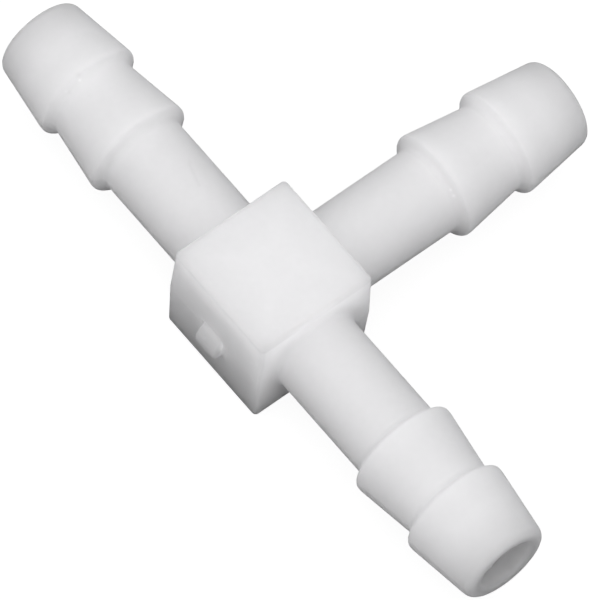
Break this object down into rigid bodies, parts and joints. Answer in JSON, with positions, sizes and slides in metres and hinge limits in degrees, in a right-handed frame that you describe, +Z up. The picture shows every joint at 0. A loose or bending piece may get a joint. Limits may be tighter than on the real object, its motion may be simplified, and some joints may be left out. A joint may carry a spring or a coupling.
{
  "type": "barbed tube tee",
  "caption": "One-piece moulded plastic tee with a square body and equal barbed legs that joins flexible tubes of 6 mm bore.",
  "frame": {"origin": "centre of the square body, where the axes of the straight bore and the branch bore cross", "axes": "+X along the straight run, +Y out along the branch leg, +Z up, square to the plane of the three legs"},
  "size_m": [0.0442, 0.027, 0.0082],
  "materials": {
    "natural_plastic": "satin, natural milky white, slightly translucent"
  },
  "bodies": {
    "root": {"tee_body": "natural_plastic"}
  },
  "joints": []
}
